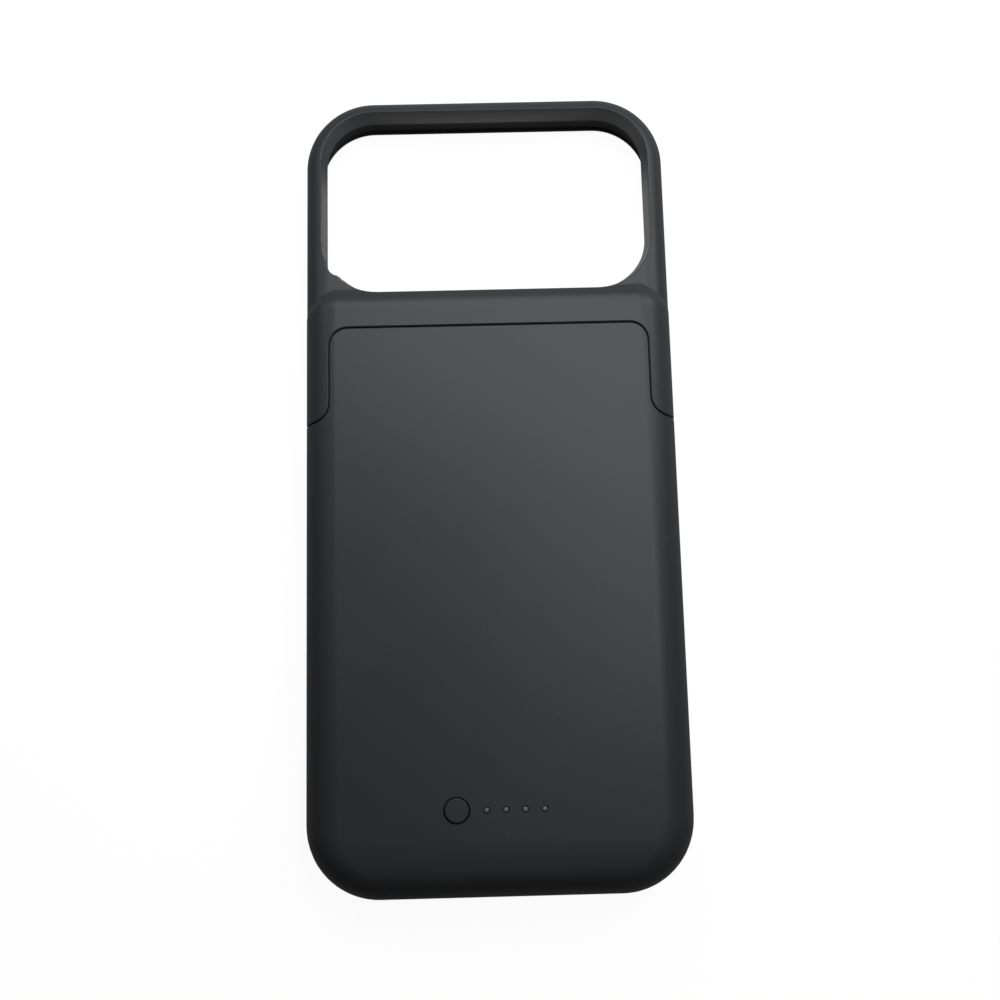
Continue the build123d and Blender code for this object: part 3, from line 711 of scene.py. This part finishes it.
class CASE_OT_boards(bpy.types.Operator):
    """Finish the boards and the parts that are soldered to them"""

    bl_idname = "battery_case.boards"
    bl_label = "Boards"

    def execute(self, context):
        edges, details = case_values().edges, case_values().details
        for node in ("main_board", "connector_board", "charge_controller", "boost_inductor", "board_flex"):
            finish_node(node, edges.small_part, edges.steps)
        finish_like("ceramic_capacitors", edges.small_part, edges.steps)
        finish_like("indicator_leds", edges.small_part, edges.steps)
        self.tin_capacitors(edges, details)
        self.lay_chip_pads(edges, details)
        self.solder_leads(details)
        return {"FINISHED"}

    def tin_capacitors(self, edges, details):
        """The tinned caps on both ends of every capacitor."""
        first, places = one_of("ceramic_capacitors")
        low, high = mesh_box(first)
        bpy.data.objects.remove(first)
        lip = details.end_cap_lip
        cap = box_between(
            "capacitor_end_caps",
            Vector((low.x - lip, low.y - lip, low.z)),
            Vector((low.x + details.end_cap, high.y + lip, high.z + lip)),
        )
        round_edges(cap, edges.small_part, edges.steps)
        across = Matrix.Translation(Vector((low.x + high.x, low.y + high.y, 0)))
        ends = (Matrix.Identity(4), across @ Matrix.Rotation(math.pi, 4, "Z"))
        seat(repeat(cap, [place @ end for place in places for end in ends]), "switch_steel")

    def lay_chip_pads(self, edges, details):
        """The tinned pads round the foot of the controller."""
        low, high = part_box("charge_controller")
        reach, width, thickness = details.chip_pad
        middle = (low + high) / 2
        half = (high.x - low.x) / 2
        pitch = 2 * half / (details.chip_pads + 1)
        pad = box_between(
            "controller_pads",
            Vector((half - reach / 2, -width / 2, high.z - thickness)),
            Vector((half + reach / 2, width / 2, high.z)),
        )
        round_edges(pad, edges.contact, edges.steps)
        centre = Matrix.Translation(Vector((middle.x, middle.y, 0)))
        places = []
        for side in range(4):
            turn = Matrix.Rotation(side * math.pi / 2, 4, "Z")
            for i in range(details.chip_pads):
                along = pitch * (i + 1) - half
                places.append(centre @ turn @ Matrix.Translation(Vector((0, along, 0))))
        seat(repeat(pad, places), "switch_steel")

    def solder_leads(self, details):
        """The joints that hold the ends of the leads: flat-footed domes, longer along the lead."""
        # The share of the height that is cut off flat, and the length along the lead for a width of one.
        foot = 0.02
        stretch = 1.25
        bpy.ops.object.select_all(action="DESELECT")
        bpy.ops.mesh.primitive_uv_sphere_add(segments=24, ring_count=14, radius=1)
        joint = bpy.context.object
        joint.name = "lead_solder_joints"
        with edit_mode():
            bpy.ops.mesh.select_all(action="SELECT")
            bpy.ops.mesh.bisect(plane_co=(0, 0, foot), plane_no=(0, 0, 1), use_fill=True, clear_inner=True)
        joint.location = (0, 0, -foot * details.solder_height)
        joint.scale = (details.solder_radius, stretch * details.solder_radius, details.solder_height)
        set_down(joint)
        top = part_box("main_board")[1].z
        places = []
        for node in ("battery_lead_positive", "battery_lead_negative"):
            low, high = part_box(node)
            middle = Vector(((low.x + high.x) / 2, low.y + details.solder_radius / 2, top))
            places.append(Matrix.Translation(middle))
        seat(repeat(joint, places), "switch_steel")


class CASE_OT_screws(bpy.types.Operator):
    """Finish the screws and cut the recess into each head"""

    bl_idname = "battery_case.screws"
    bl_label = "Screws"

    def execute(self, context):
        edges = case_values().edges
        heads_down, heads_up = -1, 1
        for node, way in (("main_board_screws", heads_down), ("connector_board_screws", heads_up)):
            finish_like(node, edges.small_part, edges.steps, lambda screw: self.cut_recess(screw, way))
        return {"FINISHED"}

    def cut_recess(self, screw, way):
        """A cross sunk into the head."""
        long, wide, deep = case_values().details.recess
        places = [vertex.co for vertex in screw.data.vertices]
        face = way * max(way * place.z for place in places)
        head = [place for place in places if abs(place.z - face) < MERGE_DISTANCE]
        middle = sum(head, Vector()) / len(head)
        for arm in (Vector((long / 2, wide / 2, deep)), Vector((wide / 2, long / 2, deep))):
            cut(screw, box_between("recess_bit", middle - arm, middle + arm))


class CASE_OT_connectors(bpy.types.Operator):
    """Finish the plug, the charging port and their contacts"""

    bl_idname = "battery_case.connectors"
    bl_label = "Connectors"

    def execute(self, context):
        edges = case_values().edges
        plug = ("phone_plug_shell", "phone_plug_insulator", "phone_plug_holder")
        port = ("charge_port_shell", "charge_port_tongue")
        for node in plug + port:
            finish_node(node, edges.small_part, edges.steps)
        for node in ("phone_plug_contacts", "charge_port_contacts"):
            finish_like(node, edges.contact, edges.steps)
        return {"FINISHED"}


class CASE_OT_stage(bpy.types.Operator):
    """Set the floor, the light and the camera"""

    bl_idname = "battery_case.stage"
    bl_label = "Stage"

    def execute(self, context):
        stage = case_values().stage
        self.lay_floor(stage)
        self.light_sky(stage)
        for name in ("end", "over", "corner", "left"):
            self.hang_light(name, *(getattr(stage, name + "_" + key) for key in ("place", "size", "power")))
        self.set_camera(stage)
        context.scene.view_settings.view_transform = "Standard"
        return {"FINISHED"}

    def lay_floor(self, stage):
        bpy.ops.object.select_all(action="DESELECT")
        bpy.ops.mesh.primitive_plane_add(size=stage.floor_size, location=(0, 0, 0))
        floor = bpy.context.object
        floor.name = "studio_floor"
        material, tree, place = new_material("pale_studio_floor")
        # The camera sees a pale sheet that takes shadow and a white glow over it. To the light that
        # bounces back on the case it is a greyer sheet, so that the sides of the case stay dark.
        path = add_node(tree, "ShaderNodeLightPath").outputs
        tone = add_node(
            tree, "ShaderNodeMix",
            {"data_type": "RGBA", 6: linear(stage.floor_bounce), 7: linear(stage.floor_seen)},
            {0: path["Is Camera Ray"]},
        )
        matte = add_node(tree, "ShaderNodeBsdfDiffuse", None, {"Color": tone.outputs[2]})
        glow = add_node(
            tree, "ShaderNodeEmission", {"Color": linear(WHITE), "Strength": stage.glow_strength}
        )
        seen = seen_rays(tree, stage.shine)
        tree.links.new(self.gleam(tree, place, stage), seen.inputs[1])
        share = add_node(
            tree, "ShaderNodeMath", {"operation": "MULTIPLY", 1: stage.glow}, {0: seen.outputs["Value"]}
        )
        mixed = add_node(
            tree, "ShaderNodeMixShader", None,
            {0: share.outputs["Value"], 1: matte.outputs["BSDF"], 2: glow.outputs["Emission"]},
        )
        add_node(tree, "ShaderNodeOutputMaterial", None, {"Surface": mixed.outputs["Shader"]})
        floor.data.materials.append(material)
        floor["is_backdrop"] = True

    def gleam(self, tree, place, stage):
        """The share of white that gloss sees in the floor.

        It is all in the middle of the camera window, so that the sloping wall round it gleams.
        """
        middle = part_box("upper_frame")[1].y - stage.gleam_inset
        local = add_node(
            tree, "ShaderNodeMapping",
            {
                "vector_type": "TEXTURE",
                "Location": (0, middle, 0),
                "Scale": (stage.gleam_half_width, stage.gleam_half_depth, 1),
            },
            {"Vector": place},
        )
        patch = add_node(
            tree, "ShaderNodeTexGradient", {"gradient_type": "SPHERICAL"}, {"Vector": local.outputs["Vector"]}
        )
        share = add_node(
            tree, "ShaderNodeMapRange", {"From Max": stage.gleam_fade, "To Min": stage.shine, "To Max": 1.0},
            {"Value": patch.outputs["Fac"]},
        )
        return share.outputs["Result"]

    def light_sky(self, stage):
        world = bpy.data.worlds.new("studio_sky")
        world.use_nodes = True
        tree = world.node_tree
        tree.nodes.clear()
        seen = seen_rays(tree, stage.shine)
        fill = add_node(tree, "ShaderNodeBackground", {"Color": linear(WHITE), "Strength": stage.sky})
        white = add_node(tree, "ShaderNodeBackground", {"Color": linear(WHITE), "Strength": 1.0})
        mixed = add_node(
            tree, "ShaderNodeMixShader", None,
            {0: seen.outputs["Value"], 1: fill.outputs["Background"], 2: white.outputs["Background"]},
        )
        add_node(tree, "ShaderNodeOutputWorld", None, {"Surface": mixed.outputs["Shader"]})
        bpy.context.scene.world = world

    def hang_light(self, name, place, size, power):
        lamp = bpy.data.lights.new(name + "_light", "AREA")
        lamp.shape = "SQUARE"
        lamp.size = size
        lamp.energy = power
        holder = bpy.data.objects.new(lamp.name, lamp)
        aim = Vector((0, 0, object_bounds()[1][2])) - Vector(place)
        turn = aim.to_track_quat("-Z", "Y").to_matrix().to_4x4()
        holder.matrix_world = Matrix.Translation(Vector(place)) @ turn
        holder.visible_camera = False
        bpy.context.scene.collection.objects.link(holder)

    def set_camera(self, stage):
        lens = bpy.data.cameras.new("photo_camera")
        lens.sensor_width = 36.0
        lens.lens = stage.lens
        lens.clip_start = 1 * MM
        camera = bpy.data.objects.new("photo_camera", lens)
        turn = Matrix.Identity(3)
        for angle, axis in zip(stage.camera_turn, "XYZ"):
            turn = Matrix.Rotation(angle, 3, axis) @ turn
        camera.matrix_world = Matrix.Translation(Vector(stage.camera_place)) @ turn.transposed().to_4x4()
        bpy.context.scene.collection.objects.link(camera)
        bpy.context.scene.camera = camera


def seen_rays(tree, shine):
    """How much of the white background each kind of ray sees.

    The camera and clear resin see all of it, and gloss sees the share in the node's second input.
    """
    path = add_node(tree, "ShaderNodeLightPath").outputs
    both = add_node(
        tree, "ShaderNodeMath", {"operation": "ADD"},
        {0: path["Is Camera Ray"], 1: path["Is Transmission Ray"]},
    )
    return add_node(
        tree, "ShaderNodeMath", {"operation": "MULTIPLY_ADD", "use_clamp": True, 1: shine},
        {0: path["Is Glossy Ray"], 2: both.outputs["Value"]},
    )


class CaseSettings(bpy.types.PropertyGroup):
    """All that the panel shows."""

    finishes: PointerProperty(type=CaseFinishes)
    edges: PointerProperty(type=CaseEdges)
    details: PointerProperty(type=CaseDetails)
    stage: PointerProperty(type=CaseStage)


OPERATORS = (
    CASE_OT_finishes, CASE_OT_housing, CASE_OT_controls, CASE_OT_pack, CASE_OT_boards, CASE_OT_screws,
    CASE_OT_connectors, CASE_OT_stage,
)


class CASE_PT_panel(bpy.types.Panel):
    """Steps and values of the battery case"""

    bl_idname = "CASE_PT_panel"
    bl_label = "Battery Case"
    bl_space_type = "VIEW_3D"
    bl_region_type = "UI"
    bl_category = "Battery Case"

    def draw(self, context):
        for operator in OPERATORS:
            self.layout.operator(operator.bl_idname)
        for name in ("finishes", "edges", "details", "stage"):
            group = getattr(context.scene.battery_case, name)
            box = self.layout.box()
            for key in group.__annotations__:
                box.prop(group, key)


CLASSES = (CaseFinishes, CaseEdges, CaseDetails, CaseStage, CaseSettings) + OPERATORS + (CASE_PT_panel,)


def register():
    for cls in CLASSES:
        bpy.utils.register_class(cls)
    bpy.types.Scene.battery_case = PointerProperty(type=CaseSettings)


def unregister():
    del bpy.types.Scene.battery_case
    for cls in reversed(CLASSES):
        bpy.utils.unregister_class(cls)


def main():
    register()
    bpy.ops.battery_case.finishes()
    bpy.ops.battery_case.housing()
    bpy.ops.battery_case.controls()
    bpy.ops.battery_case.pack()
    bpy.ops.battery_case.boards()
    bpy.ops.battery_case.screws()
    bpy.ops.battery_case.connectors()
    bpy.ops.battery_case.stage()


if __name__ == "__main__":
    main()
